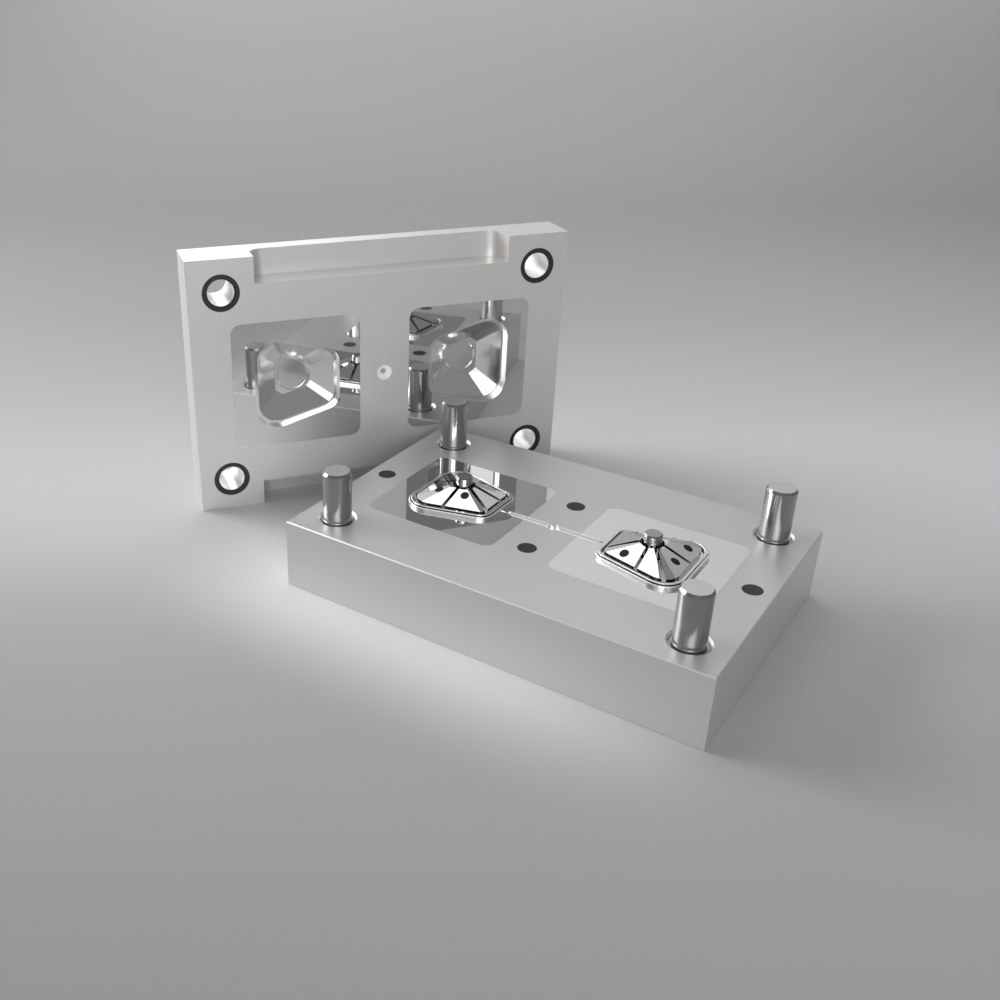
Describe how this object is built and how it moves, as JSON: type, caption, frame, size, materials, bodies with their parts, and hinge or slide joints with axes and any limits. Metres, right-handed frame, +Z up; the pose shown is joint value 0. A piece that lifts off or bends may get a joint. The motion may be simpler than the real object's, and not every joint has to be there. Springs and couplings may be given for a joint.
{
  "type": "injection mould",
  "caption": "Open injection mould: a flat core half with faceted cores, guide pins and an ejector, and a cavity half with mirrored cavities, bushes and a sprue, stood on edge.",
  "frame": {"origin": "middle of the core half's underside, at the centre of its four clamp holes", "axes": "+Z up, square to the core half's parting face; +X along the core plate's long side; +Y towards the standing cavity half"},
  "size_m": [0.4519, 0.3044, 0.2],
  "materials": {
    "ground_steel": "finely ground, satin",
    "polished_steel": "mirror polished",
    "hardened_steel": "ground and polished",
    "bush_steel": "hardened, ground",
    "bright_steel": "bright, satin polished",
    "pin_steel": "nitrided, dark",
    "screw_steel": "blackened"
  },
  "bodies": {
    "mould": {"core_plate": "ground_steel", "core_insert_left": "polished_steel", "core_insert_right": "polished_steel", "core_pin_left": "hardened_steel", "core_pin_right": "hardened_steel", "core_insert_screws_left": "screw_steel", "core_insert_screws_right": "screw_steel", "guide_pin_front_left": "hardened_steel", "guide_pin_front_right": "hardened_steel", "guide_pin_rear_left": "hardened_steel", "guide_pin_rear_right": "hardened_steel", "back_cover": "ground_steel", "back_cover_screws": "screw_steel", "cavity_plate": "ground_steel", "cavity_insert_left": "polished_steel", "cavity_insert_right": "polished_steel", "cavity_pin_left": "polished_steel", "cavity_pin_right": "polished_steel", "cavity_insert_screws_left": "screw_steel", "cavity_insert_screws_right": "screw_steel", "guide_bush_lower_left": "bush_steel", "guide_bush_lower_right": "bush_steel", "guide_bush_upper_left": "bush_steel", "guide_bush_upper_right": "bush_steel", "sprue_bush": "bright_steel"},
    "ejector": {"ejector_plate": "ground_steel", "ejector_retainer_plate": "ground_steel", "ejector_plate_screws": "screw_steel", "sprue_puller": "bright_steel", "return_pin_left": "pin_steel", "return_pin_right": "pin_steel", "return_pin_front": "pin_steel", "return_pin_rear": "pin_steel", "ejector_pin_left_1": "pin_steel", "ejector_pin_left_2": "pin_steel", "ejector_pin_left_3": "pin_steel", "ejector_pin_right_1": "pin_steel", "ejector_pin_right_2": "pin_steel", "ejector_pin_right_3": "pin_steel"}
  },
  "joints": [
    {"name": "ejector_slide", "type": "slide", "parent": "mould", "child": "ejector", "axis": [0, 0, 1], "range_m": [0, 0.006]}
  ]
}
